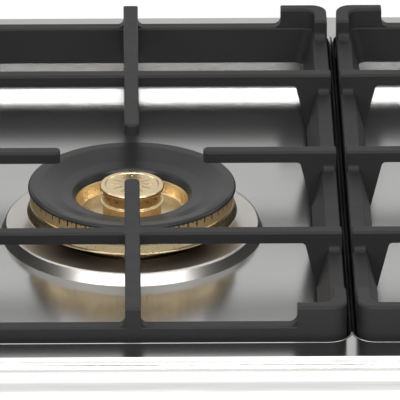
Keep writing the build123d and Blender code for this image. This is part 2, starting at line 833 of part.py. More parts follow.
def make_manifold():
    middle_y = valve_back - manifold_side / 2
    z = manifold_height()
    half, bore = manifold_side / 2, manifold_side / 2 - manifold_wall
    ends = (-casing_half + manifold_overhang, supply_x + manifold_side / 2)
    bar = between((ends[0], middle_y - half, z - half), (ends[1], middle_y + half, z + half))
    core = between((ends[0] + manifold_wall, middle_y - bore, z - bore),
                   (ends[1] - manifold_wall, middle_y + bore, z + bore))
    return bar - core - rod_back(supply_x, z, middle_y, middle_y + half, supply_radius - supply_wall)


def make_valve(x):
    low, high = valve_bottom, valve_bottom + valve_height
    block = between((x - valve_width / 2, valve_face, low), (x + valve_width / 2, valve_back, high))
    block = fillet(block.edges().filter_by(Axis.Y), 3)
    return block - rod_back(x, knob_height, valve_face, valve_face + plug_length + 1,
                            plug_radius + plug_fit)


def spindle(x, front, back, grow):
    rod_part = rod_back(x, knob_height, front, back, spindle_radius + grow)
    flat = between((x - 10, front - 1, knob_height + spindle_flat + grow),
                   (x + 10, back + 1, knob_height + 10))
    return rod_part - flat


def make_plug(x):
    plug = rod_back(x, knob_height, valve_face, valve_face + plug_length, plug_radius)
    return plug - spindle(x, valve_face - 1, valve_face + spindle_in_plug + knob_travel + 1,
                          spindle_fit)


def make_spindle(x):
    back = knob_front + knob_length
    return spindle(x, back - spindle_in_knob, valve_face + spindle_in_plug, 0)


def make_knob(x):
    body = Cylinder(knob_radius, knob_length)
    body = round_top(body, knob_edge)
    groove = Pos(knob_radius, 0, -knob_edge) * Cylinder(knob_groove_radius, knob_length)
    body -= [Rot(0, 0, 360 * (n + 0.5) / knob_groove_count) * groove
             for n in range(knob_groove_count)]
    # local +Z becomes the outward direction -Y, local +Y becomes up
    line = Pos(0, knob_radius * 0.7, knob_length / 2) * Box(
        knob_line_width, knob_radius * 0.7, 2 * knob_line_depth)
    body = Pos(x, knob_front + knob_length / 2, knob_height) * Rot(90, 0, 0) * (body - line)
    back = knob_front + knob_length
    return body - spindle(x, back - spindle_in_knob - spindle_fit, back + 1, spindle_fit)


def make_bezel(x):
    ring = turned([(knob_radius + bezel_gap, 0), (bezel_radius, 0), (bezel_radius - 1.5, bezel_depth),
                   (knob_radius + bezel_gap, bezel_depth)], [0, 0, 1, 1])
    return Pos(x, panel_face, knob_height) * Rot(90, 0, 0) * ring


def make_bracket(x):
    low, high = tray_top, manifold_height() - manifold_side / 2
    back = valve_back
    plate = between((x - bracket_width / 2, back - bracket_sheet, low),
                    (x + bracket_width / 2, back, high))
    foot = between((x - bracket_width / 2, back - bracket_base, low),
                   (x + bracket_width / 2, back, low + bracket_sheet))
    head = between((x - bracket_width / 2, back - manifold_side, high - bracket_sheet),
                   (x + bracket_width / 2, back, high))
    return plate + foot + head


def make_inlet():
    z = manifold_height()
    neck = tube_back(supply_x, z, casing_rear, inlet_end, inlet_radius, inlet_bore)
    neck += tube_back(supply_x, z, casing_rear - casing_sheet, casing_rear,
                      inlet_radius + inlet_shoulder, inlet_bore)
    nut_front = casing_rear - casing_sheet - inlet_nut_depth
    nut = Pos(supply_x, casing_rear - casing_sheet - inlet_nut_depth / 2, z) * Rot(90, 0, 0) * extrude(
        RegularPolygon(inlet_nut_radius, 6), inlet_nut_depth / 2, both=True)
    return neck + (nut - rod_back(supply_x, z, nut_front, casing_rear, inlet_bore))


def make_supply():
    return tube_back(supply_x, manifold_height(), valve_back,
                     casing_rear - casing_sheet - inlet_nut_depth, supply_radius,
                     supply_radius - supply_wall)


def make_gland():
    x, z = gland_x(), manifold_height()
    body = rod_back(x, z, casing_rear - 4 * casing_sheet, casing_rear, gland_radius)
    flange = rod_back(x, z, casing_rear, casing_rear + gland_flange_depth, gland_flange)
    inner = casing_rear - casing_sheet
    nut = rod_back(x, z, inner - gland_flange_depth, inner, gland_flange)
    return body + flange + nut - rod_back(x, z, casing_rear - 10, casing_rear + 10, gland_bore)


def make_module():
    w, d, h = module_size
    x, y = -casing_half + module_inset, casing_rear - module_setback
    box = between((x - w / 2, y - d / 2, tray_top), (x + w / 2, y + d / 2, tray_top + h))
    return round_top(box, 2)


def make_terminals():
    w, d, h = terminal_size
    back = casing_rear - 10
    x = gland_x() + gland_flange + w
    box = between((x - w / 2, back - d, tray_top), (x + w / 2, back, tray_top + h))
    return round_top(box, 2)


# Pan supports and pads
center_support = make_support([0.0])
side_support = make_support([-crossbar_offset, crossbar_offset])
pads = make_pads()
for name, x in zip(("left", "center", "right"), bay_centers):
    place = Pos(x, 0, 0)
    save(f"pan_support_{name}", place * (center_support if name == "center" else side_support))
    save(f"support_pads_{name}", *[place * pad for pad in pads])

# Burners
center_dish_inner = dish_height * 0.7
save("worktop", make_worktop())
save("center_burner_head", make_center_head())
save("center_ring_cap", make_ring_cap())
save("center_inner_cap", make_inner_cap())
save("center_spill_dish", make_dish(0, 0, center_dish_radius, center_dish_hole, brass_radius,
                                    center_dish_inner))
side_dishes = []
for name, (x, y, radius) in side_burners.items():
    save(f"{name}_burner_head", make_side_head(x, y, radius))
    save(f"{name}_burner_cap", make_side_cap(x, y, radius))
    side_dishes.append(make_dish(x, y, radius + side_dish_margin, side_hole + side_dish_hole_margin,
                                 radius, side_dish_fall))
save("side_spill_dishes", *side_dishes)
save("center_burner_cup", make_cup(0, 0, center_hole, (-1, 1)))
save("side_burner_cups", *[
    make_cup(x, y, side_hole, (1 if knob_places[name] > x else -1,))
    for name, (x, y, _) in side_burners.items()])
jet_places = [(-dual_jet_spacing / 2, 0), (dual_jet_spacing / 2, 0)]
jet_places += [(x, y) for x, y, _ in side_burners.values()]
save("injectors", *[make_injector(x, y) for x, y in jet_places])
save("gas_tubes", *make_tubes())
electrodes = []
probes = []
for x, y, radius in all_burners():
    top = rim_height + brass_bottom - 1 if radius == brass_radius else seat_height + probe_height
    first, second = electrode_places(x, y, radius)
    electrodes.append(make_electrode(*first, top))
    probes.append(make_probe(*second, top))
save("spark_electrodes", *electrodes)
save("flame_probes", *probes)

# Casing
save("front_panel", make_front_panel())
save("side_panel_left", make_side_panel(-1))
save("side_panel_right", make_side_panel(1))
save("rear_panel", make_rear_panel())
save("bottom_tray", make_tray())
save("feet", *make_feet())
save("casing_screws", *make_screws())

# Controls
save("valve_bodies", *[make_valve(x) for x in knob_places.values()])
save("knob_bezels", *[make_bezel(x) for x in knob_places.values()])
for name, x in knob_places.items():
    save(f"{name}_valve_plug", make_plug(x))
    save(f"{name}_spindle", make_spindle(x))
    save(f"{name}_knob", make_knob(x))

# Gas train and electrics
save("gas_manifold", make_manifold())
save("manifold_brackets", *[make_bracket(x) for x in (-bay_pitch, 0.0, bay_pitch)])
save("gas_supply_pipe", make_supply())
save("gas_inlet", make_inlet())
save("cable_gland", make_gland())
save("spark_module", make_module())
save("terminal_box", make_terminals())
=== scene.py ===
import json
import math

import bmesh
import bpy
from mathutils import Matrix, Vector


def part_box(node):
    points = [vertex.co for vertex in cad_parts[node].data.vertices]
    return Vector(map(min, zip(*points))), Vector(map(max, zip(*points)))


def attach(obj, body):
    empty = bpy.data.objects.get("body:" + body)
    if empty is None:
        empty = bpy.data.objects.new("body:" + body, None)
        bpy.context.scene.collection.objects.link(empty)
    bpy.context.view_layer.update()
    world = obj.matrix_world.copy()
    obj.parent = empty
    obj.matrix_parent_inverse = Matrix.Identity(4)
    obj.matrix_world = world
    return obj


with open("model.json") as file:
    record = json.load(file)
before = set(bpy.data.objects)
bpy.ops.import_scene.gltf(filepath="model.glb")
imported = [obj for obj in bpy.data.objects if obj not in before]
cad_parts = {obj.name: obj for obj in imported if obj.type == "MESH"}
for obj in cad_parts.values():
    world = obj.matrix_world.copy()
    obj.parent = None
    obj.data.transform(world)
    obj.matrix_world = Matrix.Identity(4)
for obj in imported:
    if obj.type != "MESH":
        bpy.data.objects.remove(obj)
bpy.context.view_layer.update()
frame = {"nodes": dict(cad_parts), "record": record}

nodes = frame["nodes"]


def hexColour(text):
    # sRGB hex to the linear colour that shaders take
    channels = [int(text[i:i + 2], 16) / 255 for i in (1, 3, 5)]
    return [c / 12.92 if c <= 0.04045 else ((c + 0.055) / 1.055) ** 2.4 for c in channels] + [1.0]


def addNode(tree, kind, settings=None, links=None):
    # one node with its values set and its inputs joined
    node = tree.nodes.new(kind)
    for name, value in (settings or {}).items():
        if isinstance(name, int) or name in node.inputs:
            node.inputs[name].default_value = value
        else:
            setattr(node, name, value)
    for name, socket in (links or {}).items():
        tree.links.new(socket, node.inputs[name])
    return node


def millimetres(size):
    # how many times a pattern repeats in a metre, for features of this size
    return 1000.0 / size


def middleOf(node):
    low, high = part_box(node)
    return (low + high) / 2


# Camera: solved from the crossbars, rims and burner circles of the photograph

view = {
    "focalPixels": 7146.7,  # focal length, against a frame of framePixels
    "framePixels": 400,
    "sensor": 36.0,         # mm
    "elevation": 24.475,    # degrees that it looks down
    "turn": 0.684,          # degrees that it looks to the right
    "distance": 4.923,
    "aimRight": 0.0468,     # from the middle of the worktop
    "aimFront": 0.0358,
    "farthest": 200.0,
}


def makeCamera():
    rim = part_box("worktop")[1].z
    aim = Vector((view["aimRight"], middleOf("worktop").y - view["aimFront"], rim))
    tilt, turn = math.radians(view["elevation"]), math.radians(view["turn"])
    look = Vector((math.sin(turn) * math.cos(tilt), math.cos(turn) * math.cos(tilt), -math.sin(tilt)))
    data = bpy.data.cameras.new("photoCamera")
    data.sensor_width = view["sensor"]
    data.lens = view["focalPixels"] / view["framePixels"] * view["sensor"]
    data.clip_end = view["farthest"]
    camera = bpy.data.objects.new("photoCamera", data)
    camera.location = aim - look * view["distance"]
    camera.rotation_euler = look.to_track_quat("-Z", "Y").to_euler()
    bpy.context.scene.collection.objects.link(camera)
    bpy.context.scene.camera = camera
    print("camera: lens", round(data.lens, 1))


# Studio: pale floor, white surroundings, soft lamps

studio = {
    "worldLight": 0.45,
    "floorSize": 60.0,
    "floorColour": "#E6E6E4",
    "floorGlow": 0.28,      # seen by the camera and in reflections only
    "floorDrop": 0.0005,    # under the feet, so that the two faces stay apart
    "white": (1, 1, 1, 1),
    "lampAim": (0, 0, 0.15),
}
lamps = {
    "overhead": {"place": (0.0, 0.3, 2.6), "size": (2.6, 1.6), "watts": 16},
    "front": {"place": (0.0, -2.25, 1.46), "size": (5.0, 0.12), "watts": 76},
    "left": {"place": (-2.6, 0.2, 1.3), "size": (1.2, 1.0), "watts": 9},
    "right": {"place": (2.6, 0.2, 1.3), "size": (1.2, 1.0), "watts": 7},
}


def seenBy(tree, *rays):
    # 1 for these kinds of ray and 0 for the others
    path = addNode(tree, "ShaderNodeLightPath")
    seen = path.outputs[rays[0]]
    for ray in rays[1:]:
        either = addNode(tree, "ShaderNodeMath", {"operation": "MAXIMUM"}, {0: seen, 1: path.outputs[ray]})
        seen = either.outputs[0]
    return seen


def makeSurroundings():
    world = bpy.data.worlds.new("whiteSurroundings")
    world.use_nodes = True
    tree = world.node_tree
    tree.nodes.clear()
    seen = seenBy(tree, "Is Camera Ray", "Is Glossy Ray", "Is Transmission Ray")
    strength = addNode(tree, "ShaderNodeMapRange", {"To Min": studio["worldLight"], "To Max": 1.0},
                       {"Value": seen})
    light = addNode(tree, "ShaderNodeBackground", {"Color": studio["white"]},
                    {"Strength": strength.outputs["Result"]})
    addNode(tree, "ShaderNodeOutputWorld", links={"Surface": light.outputs[0]})
    bpy.context.scene.world = world


def makeFloor():
    material = bpy.data.materials.new("paleStudioFloor")
    material.use_nodes = True
    tree = material.node_tree
    tree.nodes.clear()
    matt = addNode(tree, "ShaderNodeBsdfDiffuse", {"Color": hexColour(studio["floorColour"])})
    strength = addNode(tree, "ShaderNodeMath", {"operation": "MULTIPLY", 1: studio["floorGlow"]},
                       {0: seenBy(tree, "Is Camera Ray", "Is Glossy Ray")})
    glow = addNode(tree, "ShaderNodeEmission", {"Color": studio["white"]},
                   {"Strength": strength.outputs[0]})
    both = addNode(tree, "ShaderNodeAddShader", links={0: matt.outputs[0], 1: glow.outputs[0]})
    addNode(tree, "ShaderNodeOutputMaterial", links={"Surface": both.outputs[0]})
    half = studio["floorSize"] / 2
    corners = [(-half, -half, 0), (half, -half, 0), (half, half, 0), (-half, half, 0)]
    mesh = bpy.data.meshes.new("studioFloor")
    mesh.from_pydata(corners, [], [(0, 1, 2, 3)])
    mesh.materials.append(material)
    floor = bpy.data.objects.new("studioFloor", mesh)
    floor.location.z = -studio["floorDrop"]
    bpy.context.scene.collection.objects.link(floor)


def makeLamps():
    for name, lamp in lamps.items():
        data = bpy.data.lights.new(name, "AREA")
        data.shape = "RECTANGLE"
        data.size, data.size_y = lamp["size"]
        data.energy = lamp["watts"]
        light = bpy.data.objects.new(name, data)
        light.location = lamp["place"]
        aim = Vector(studio["lampAim"]) - Vector(lamp["place"])
        light.rotation_euler = aim.to_track_quat("-Z", "Y").to_euler()
        light.visible_camera = False
        bpy.context.scene.collection.objects.link(light)


def makeStudio():
    makeSurroundings()
    makeFloor()
    makeLamps()
    bpy.context.scene.view_settings.view_transform = "Standard"
    print("studio: floor and", len(lamps), "lamps")


# Materials, each named for its finish

mixSockets = {"first": 6, "second": 7, "blend": 2}  # where a Mix node takes and gives colours


def startMaterial(name):
    material = bpy.data.materials.new(name)
    material.use_nodes = True
    tree = material.node_tree
    tree.nodes.clear()
    shader = addNode(tree, "ShaderNodeBsdfPrincipled")
    addNode(tree, "ShaderNodeOutputMaterial", links={"Surface": shader.outputs[0]})
    place = addNode(tree, "ShaderNodeTexCoord").outputs["Object"]
    return material, tree, shader, place


def colourPair(colours):
    # what a Mix node needs to blend these two
    first, second = [hexColour(colour) for colour in colours]
    return {"data_type": "RGBA", mixSockets["first"]: first, mixSockets["second"]: second}


pressing = {
    "wellDepth": 0.0395,
    "frontRim": 0.027,
    "floorSag": 0.09,       # the floors fall to the middle, with this much more slope per metre from it
    "frontFall": {"from": -0.10, "to": -0.19, "slope": 0.03},   # more of it in front, from the middle
    "rearFall": {"from": 0.205, "to": 0.224, "slope": 0.04},    # turns it round next to the rear wall
    "floorSkin": 0.0003,    # height above the floor that still counts as floor
    "floorFade": 0.002,     # height where the wall no longer follows it
    "frontRise": 0.085,     # slope of the front rim up to its edge
    "rimBlend": 0.004,      # length over which that slope starts
}


def pressedNormal(tree, place):
    # sheet pressed this deep isn't quite flat: too little to see, except in what it mirrors
    low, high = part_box("worktop")
    middle = middleOf("worktop").y
    rimEdge = low.y + pressing["frontRim"]
    floor = high.z - pressing["wellDepth"]
    at = addNode(tree, "ShaderNodeSeparateXYZ", links={0: place}).outputs
    onFloor = addNode(tree, "ShaderNodeMapRange",
                      {"From Min": floor + pressing["floorSkin"], "From Max": floor + pressing["floorFade"],
                       "To Min": 1.0, "To Max": 0.0}, {"Value": at["Z"]})
    onRim = addNode(tree, "ShaderNodeMapRange",
                    {"From Min": rimEdge, "From Max": rimEdge - pressing["rimBlend"]}, {"Value": at["Y"]})
    forward = addNode(tree, "ShaderNodeMath", {"operation": "SUBTRACT", 0: middle}, {1: at["Y"]})
    slope = addNode(tree, "ShaderNodeMath", {"operation": "MULTIPLY", 1: pressing["floorSag"]},
                    {0: forward.outputs[0]})
    for fall in (pressing["rearFall"], pressing["frontFall"]):
        added = addNode(tree, "ShaderNodeMapRange",
                        {"From Min": middle + fall["from"], "From Max": middle + fall["to"],
                         "To Max": fall["slope"]}, {"Value": at["Y"]})
        slope = addNode(tree, "ShaderNodeMath", {"operation": "ADD"},
                        {0: slope.outputs[0], 1: added.outputs[0]})
    slope = addNode(tree, "ShaderNodeMath", {"operation": "MULTIPLY"},
                    {0: slope.outputs[0], 1: onFloor.outputs[0]})
    tilt = addNode(tree, "ShaderNodeMath", {"operation": "MULTIPLY_ADD", 1: pressing["frontRise"]},
                   {0: onRim.outputs[0], 2: slope.outputs[0]})
    lean = addNode(tree, "ShaderNodeCombineXYZ", links={"Y": tilt.outputs[0]})
    normal = addNode(tree, "ShaderNodeNewGeometry").outputs["Normal"]
    leant = addNode(tree, "ShaderNodeVectorMath", {"operation": "ADD"}, {0: normal, 1: lean.outputs[0]})
    pressed = addNode(tree, "ShaderNodeVectorMath", {"operation": "NORMALIZE"}, {0: leant.outputs[0]})
    return pressed.outputs[0]


worktopFinish = {
    "colours": ("#A6A6A5", "#B2B2B1"),
    "haze": 70,             # mm, broad and faint differences of colour
    "hazeDetail": 3.0,
    # near-white colour painted on the front edge: a painted highlight on the lip, not a finish
    "paintedEdgeHighlight": "#F4F4F2",
    "edgeFrom": 0.0022,     # from the front edge
    "edgeFull": 0.0008,
    "brushStretch": 60.0,   # length of a brush line against its width
    "brushLine": 0.7,       # mm; the real lines are finer, and too fine to show
    "brushDetail": 2.0,
    "alongBrush": (1, 0, 0),
    "roughness": (0.16, 0.20),
    "smear": 0.25,          # reflections spread across the brush lines
    "relief": 0.012,
    "reliefDepth": 0.0001,
}


def satinStainless():
    # pressed 304 stainless, brushed from side to side: a soft mirror that smears towards the viewer; its
    # front edge is painted near white, a painted highlight
    finish = worktopFinish
    material, tree, shader, place = startMaterial("satinStainless304")
    haze = addNode(tree, "ShaderNodeTexNoise",
                   {"Scale": millimetres(finish["haze"]), "Detail": finish["hazeDetail"]},
                   {"Vector": place})
    stretch = addNode(tree, "ShaderNodeMapping", {"Scale": (1.0 / finish["brushStretch"], 1.0, 1.0)},
                      {"Vector": place})
    grain = addNode(tree, "ShaderNodeTexNoise",
                    {"Scale": millimetres(finish["brushLine"]), "Detail": finish["brushDetail"]},
                    {"Vector": stretch.outputs[0]})
    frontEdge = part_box("worktop")[0].y
    at = addNode(tree, "ShaderNodeSeparateXYZ", links={0: place}).outputs
    paintedHighlightMask = addNode(tree, "ShaderNodeMapRange",
                     {"From Min": frontEdge + finish["edgeFrom"],
                      "From Max": frontEdge + finish["edgeFull"]}, {"Value": at["Y"]})
    sheet = addNode(tree, "ShaderNodeMix", colourPair(finish["colours"]), {"Factor": haze.outputs["Fac"]})
    # towards the front edge the colour blends to near white: painted highlight
    colour = addNode(tree, "ShaderNodeMix",
                     {"data_type": "RGBA", mixSockets["second"]: hexColour(finish["paintedEdgeHighlight"])},
                     {"Factor": paintedHighlightMask.outputs[0],
                      mixSockets["first"]: sheet.outputs[mixSockets["blend"]]})
    tree.links.new(colour.outputs[mixSockets["blend"]], shader.inputs["Base Color"])
    smooth, rough = finish["roughness"]
    gloss = addNode(tree, "ShaderNodeMapRange", {"To Min": smooth, "To Max": rough},
                    {"Value": grain.outputs["Fac"]})
    tree.links.new(gloss.outputs[0], shader.inputs["Roughness"])
    shader.inputs["Metallic"].default_value = 1.0
    shader.inputs["Anisotropic"].default_value = finish["smear"]
    pressed = pressedNormal(tree, place)
    brushed = addNode(tree, "ShaderNodeVectorMath",
                      {"operation": "CROSS_PRODUCT", 1: finish["alongBrush"]}, {0: pressed})
    tree.links.new(brushed.outputs[0], shader.inputs["Tangent"])
    bump = addNode(tree, "ShaderNodeBump",
                   {"Strength": finish["relief"], "Distance": finish["reliefDepth"]},
                   {"Height": grain.outputs["Fac"], "Normal": pressed})
    tree.links.new(bump.outputs[0], shader.inputs["Normal"])
    return material


brassFinish = {
    "polished": ("#C9B38C", "#D7C4A0"),
    "toned": ("#A8906A", "#BCA57C"),    # the slotted band, dulled by the flames
    "bandLow": -0.0144,                 # lowest place of the band, from the worktop's rim
    "bandFade": 0.0003,
    "bandInside": 0.060,                # from the burner's axis
    "tone": 18,                         # mm, clouds of paler and deeper brass
    "toneDetail": 4.0,
    "marks": 1.6,                       # mm; the real wiping marks are finer, and too fine to show
    "marksDetail": 3.0,
    "marksStretch": (1.0, 1.0, 0.12),
    "withoutHeight": (1, 1, 0),
    "roughness": (0.22, 0.36),
    "bandRoughness": 0.62,
    "relief": 0.06,
    "reliefDepth": 0.0001,
}


def slottedBand(tree, place):
    # 1 from the slots up, outside the middle burner's bowl, and so on the side burners too
    finish = brassFinish
    burner = middleOf("center_burner_head")
    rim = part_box("worktop")[1].z
    axis = addNode(tree, "ShaderNodeMapping", {"Location": (-burner.x, -burner.y, -rim)}, {"Vector": place})
    at = addNode(tree, "ShaderNodeSeparateXYZ", links={0: axis.outputs[0]}).outputs
    flat = addNode(tree, "ShaderNodeVectorMath", {"operation": "MULTIPLY", 1: finish["withoutHeight"]},
                   {0: axis.outputs[0]})
    reach = addNode(tree, "ShaderNodeVectorMath", {"operation": "LENGTH"}, {0: flat.outputs[0]})
    outside = addNode(tree, "ShaderNodeMath", {"operation": "GREATER_THAN", 1: finish["bandInside"]},
                      {0: reach.outputs["Value"]})
    above = addNode(tree, "ShaderNodeMapRange",
                    {"From Min": finish["bandLow"] - finish["bandFade"], "From Max": finish["bandLow"]},
                    {"Value": at["Z"]})
    band = addNode(tree, "ShaderNodeMath", {"operation": "MULTIPLY"},
                   {0: outside.outputs[0], 1: above.outputs[0]})
    return band.outputs[0]


def turnedBrass():
    # turned burner brass, satin with fine upright wiping marks; the slotted band is matt from heat
    finish = brassFinish
    material, tree, shader, place = startMaterial("turnedPolishedBrass")
    tone = addNode(tree, "ShaderNodeTexNoise",
                   {"Scale": millimetres(finish["tone"]), "Detail": finish["toneDetail"]},
                   {"Vector": place})
    wiped = addNode(tree, "ShaderNodeMapping", {"Scale": finish["marksStretch"]}, {"Vector": place})
    marks = addNode(tree, "ShaderNodeTexNoise",
                    {"Scale": millimetres(finish["marks"]), "Detail": finish["marksDetail"]},
                    {"Vector": wiped.outputs[0]})
    band = slottedBand(tree, place)
    clean = addNode(tree, "ShaderNodeMix", colourPair(finish["polished"]), {"Factor": tone.outputs["Fac"]})
    dulled = addNode(tree, "ShaderNodeMix", colourPair(finish["toned"]), {"Factor": marks.outputs["Fac"]})
    colour = addNode(tree, "ShaderNodeMix", {"data_type": "RGBA"},
                     {"Factor": band,
                      mixSockets["first"]: clean.outputs[mixSockets["blend"]],
                      mixSockets["second"]: dulled.outputs[mixSockets["blend"]]})
    tree.links.new(colour.outputs[mixSockets["blend"]], shader.inputs["Base Color"])
    smooth, rough = finish["roughness"]
    polished = addNode(tree, "ShaderNodeMapRange", {"To Min": smooth, "To Max": rough},
                       {"Value": marks.outputs["Fac"]})
    gloss = addNode(tree, "ShaderNodeMapRange", {"To Max": finish["bandRoughness"]},
                    {"Value": band, "To Min": polished.outputs[0]})
    tree.links.new(gloss.outputs[0], shader.inputs["Roughness"])
    shader.inputs["Metallic"].default_value = 1.0
    bump = addNode(tree, "ShaderNodeBump",
                   {"Strength": finish["relief"], "Distance": finish["reliefDepth"]},
                   {"Height": marks.outputs["Fac"]})
    tree.links.new(bump.outputs[0], shader.inputs["Normal"])
    return material


# Finishes with one grain, by the slot that they dress. Sizes of grain are in mm, and those of
# fine finishes are drawn coarser than the real ones, so that they show.
usualGrain = {
    "detail": 3.0,
    "stretch": (1.0, 1.0, 1.0),
    "metal": 0.0,
    "specular": 0.5,
    "relief": 0.05,
    "reliefDepth": 0.0002,
}
grainFinishes = {
    # sheet brushed along its length: fine straight lines, soft reflections
    "stainless_panel": {"name": "brushedStainlessSheet", "colours": ("#CFCFCD", "#DCDCDA"),
                        "grain": 0.9, "stretch": (0.02, 1.0, 1.0), "roughness": (0.18, 0.30),
                        "metal": 1.0, "reliefDepth": 0.0001},
    # pressed and buffed ring: bright, with the edges of its highlights softened by use
    "stainless_dish": {"name": "brightPolishedStainless", "colours": ("#BDBAB5", "#C9C6C1"),
                       "grain": 25, "roughness": (0.30, 0.38), "metal": 1.0, "relief": 0.0},
    # cast iron under matt vitreous enamel: soft orange-peel over sand-cast grain
    "enamelled_iron": {"name": "enamelledCastIron", "colours": ("#1C1C1D", "#232324"),
                       "grain": 1.6, "detail": 4.0, "swell": 14, "swellDetail": 2.0,
                       "roughness": (0.50, 0.62), "specular": 0.25,
                       "relief": 0.3, "reliefDepth": 0.0003},
    # smooth matt vitreous enamel on a pressed steel cap: even black with a low sheen
    "black_enamel": {"name": "mattEnamelCap", "colours": ("#232323", "#2A2A2A"), "grain": 1.0,
                     "roughness": (0.28, 0.34), "specular": 0.25, "relief": 0.06, "reliefDepth": 0.0001},
    # machined fittings: yellow and half bright
    "gas_brass": {"name": "machinedBrass", "colours": ("#B08D4E", "#C4A262"), "grain": 3,
                  "roughness": (0.29, 0.39), "metal": 1.0},
    # die castings: grey and slightly rough
    "cast_aluminium": {"name": "dieCastAluminium", "colours": ("#A5A5A4", "#B5B5B3"), "grain": 2,
                       "roughness": (0.40, 0.50), "metal": 1.0, "relief": 0.2},
    # drawn tube: pale and smooth
    "aluminium_tube": {"name": "drawnAluminiumTube", "colours": ("#BDBDBC", "#C9C9C8"), "grain": 6,
                       "roughness": (0.25, 0.35), "metal": 1.0},
    # zinc-dipped sheet: cloudy grey
    "galvanised_sheet": {"name": "galvanisedSheet", "colours": ("#8E9091", "#A3A5A6"), "grain": 12,
                         "roughness": (0.37, 0.47), "metal": 1.0},
    # turned knobs: satin, with clear highlights down their sides
    "knob_steel": {"name": "turnedStainlessKnob", "colours": ("#A9A8A5", "#B9B8B4"), "grain": 2,
                   "roughness": (0.21, 0.31), "metal": 1.0},
    # moulded bezels: black with a soft sheen
    "bezel_black": {"name": "satinBlackMoulding", "colours": ("#1A1A1B", "#202021"), "grain": 1,
                    "roughness": (0.30, 0.40)},
    # ground spindles: even grey steel
    "spindle_steel": {"name": "groundSteel", "colours": ("#9C9C9D", "#B0B0B0"), "grain": 3,
                      "roughness": (0.25, 0.35), "metal": 1.0},
    # soft pads under the supports: black, no highlights
    "pad_rubber": {"name": "siliconeRubber", "colours": ("#161616", "#1D1D1D"), "grain": 1.5,
                   "roughness": (0.70, 0.80), "relief": 0.2},
    # feet: dull black
    "foot_rubber": {"name": "mouldedRubber", "colours": ("#121212", "#1A1A1A"), "grain": 2,
                    "roughness": (0.75, 0.85), "relief": 0.3},
    # electrode insulators: warm white under a glaze
    "ceramic": {"name": "glazedCeramic", "colours": ("#E6E2D6", "#EFEBE0"), "grain": 8,
                "roughness": (0.13, 0.23)},
    # probe tips: brown and blue-grey from the flame
    "probe_steel": {"name": "heatStainedSteel", "colours": ("#7E756A", "#99907F"), "grain": 4,
                    "roughness": (0.30, 0.40), "metal": 1.0},
    # cable gland: dark, fine-grained moulding
    "nylon": {"name": "mouldedNylon", "colours": ("#1C1C1D", "#242425"), "grain": 1.5,
              "roughness": (0.45, 0.55), "relief": 0.1},
    # spark module and terminal box: pale, slightly textured plastic
    "module_plastic": {"name": "mouldedModuleCase", "colours": ("#CFCFCA", "#D8D8D3"), "grain": 2,
                       "roughness": (0.45, 0.55), "relief": 0.1},
}


def grainFinish(finish):
    # the grain gives the colour and the relief, and the gloss too where there is no broader swell
    material, tree, shader, place = startMaterial(finish["name"])
    stretch = addNode(tree, "ShaderNodeMapping", {"Scale": finish["stretch"]}, {"Vector": place})
    grain = addNode(tree, "ShaderNodeTexNoise",
                    {"Scale": millimetres(finish["grain"]), "Detail": finish["detail"]},
                    {"Vector": stretch.outputs[0]})
    colour = addNode(tree, "ShaderNodeMix", colourPair(finish["colours"]), {"Factor": grain.outputs["Fac"]})
    tree.links.new(colour.outputs[mixSockets["blend"]], shader.inputs["Base Color"])
    swell = grain
    if "swell" in finish:
        swell = addNode(tree, "ShaderNodeTexNoise",
                        {"Scale": millimetres(finish["swell"]), "Detail": finish["swellDetail"]},
                        {"Vector": place})
    smooth, rough = finish["roughness"]
    gloss = addNode(tree, "ShaderNodeMapRange", {"To Min": smooth, "To Max": rough},
                    {"Value": swell.outputs["Fac"]})
    tree.links.new(gloss.outputs[0], shader.inputs["Roughness"])
    shader.inputs["Metallic"].default_value = finish["metal"]
    shader.inputs["Specular IOR Level"].default_value = finish["specular"]
    if finish["relief"]:
        bump = addNode(tree, "ShaderNodeBump",
                       {"Strength": finish["relief"], "Distance": finish["reliefDepth"]},
                       {"Height": grain.outputs["Fac"]})
        tree.links.new(bump.outputs[0], shader.inputs["Normal"])
    return material


def makeFinishes():
    finishes = {"stainless_worktop": satinStainless(), "burner_brass": turnedBrass()}
    for slot, finish in grainFinishes.items():
        finishes[slot] = grainFinish({**usualGrain, **finish})
    print("finishes:", len(finishes))
    return finishes


def dressNodes(finishes):
    slots = {row["node"]: row["material_slot"] for row in frame["record"]["subparts"]}
    for name, node in nodes.items():
        node.data.materials.clear()
        node.data.materials.append(finishes[slots[name]])
    print("dressed", len(nodes), "nodes")


# Details that follow a rule, made with Geometry Nodes

def startTree(name, inputs):
    tree = bpy.data.node_groups.new(name, "GeometryNodeTree")
    for label, kind in inputs.items():
        tree.interface.new_socket(label, in_out="INPUT", socket_type=kind)
    tree.interface.new_socket("Geometry", in_out="OUTPUT", socket_type="NodeSocketGeometry")
    return tree, addNode(tree, "NodeGroupInput").outputs, addNode(tree, "NodeGroupOutput")


def growPiece(name, tree, values):
    # evaluates the tree with these inputs and keeps the plain mesh
    carrier = bpy.data.objects.new(name + "Carrier", bpy.data.meshes.new(name + "Carrier"))
    bpy.context.scene.collection.objects.link(carrier)
    modifier = carrier.modifiers.new("grow", "NODES")
    modifier.node_group = tree
    for item in tree.interface.items_tree:
        if item.in_out == "INPUT":
            modifier[item.identifier] = values[item.name]
    bpy.context.view_layer.update()
    evaluated = carrier.evaluated_get(bpy.context.evaluated_depsgraph_get())
    mesh = bpy.data.meshes.new_from_object(evaluated)
    bpy.data.objects.remove(carrier)
    mesh.name = name
    piece = bpy.data.objects.new(name, mesh)
    bpy.context.scene.collection.objects.link(piece)
    return piece


def joinPieces(name, pieces):
    joined = bmesh.new()
    for piece in pieces:
        joined.from_mesh(piece.data)
    mesh = bpy.data.meshes.new(name)
    for material in pieces[0].data.materials:
        mesh.materials.append(material)
    joined.to_mesh(mesh)
    joined.free()
    for piece in pieces:
        bpy.data.objects.remove(piece)
    whole = bpy.data.objects.new(name, mesh)
    bpy.context.scene.collection.objects.link(whole)
    return whole


